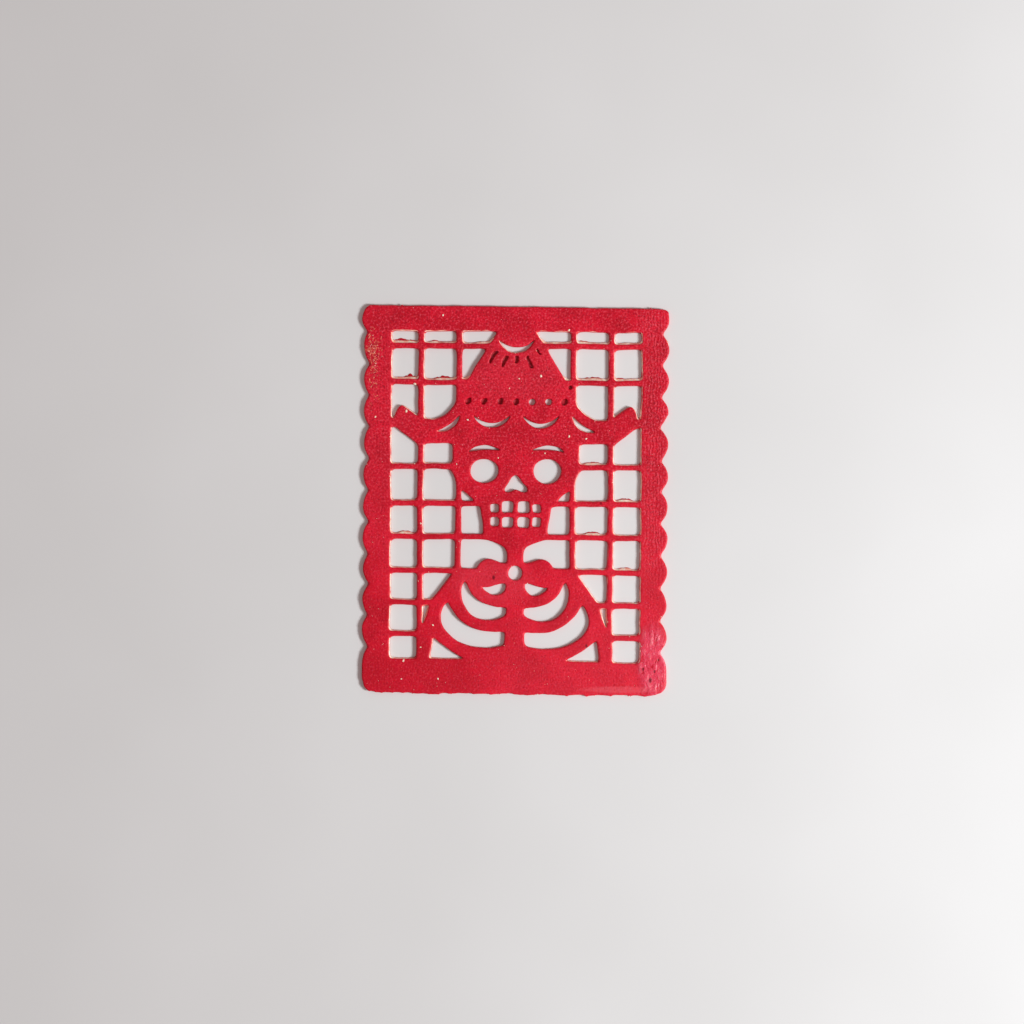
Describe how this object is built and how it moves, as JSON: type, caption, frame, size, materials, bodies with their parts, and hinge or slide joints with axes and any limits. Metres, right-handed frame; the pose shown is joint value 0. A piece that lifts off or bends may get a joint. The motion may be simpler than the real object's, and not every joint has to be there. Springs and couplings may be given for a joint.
{
  "type": "moulded papel picado sheet",
  "caption": "Flat moulded lace sheet with scalloped sides, a square lattice and a smiling skull in a sombrero cut through it, laid face up.",
  "frame": {"origin": "on the back face, at the middle of the sheet", "axes": "+X across the figure to the right as seen from the face, +Y from the figure's foot to its hat, +Z out of the face"},
  "size_m": [0.066, 0.084, 0.001],
  "materials": {
    "red_lace": "satin"
  },
  "bodies": {
    "root": {"papel_picado_sheet": "red_lace"}
  },
  "joints": []
}
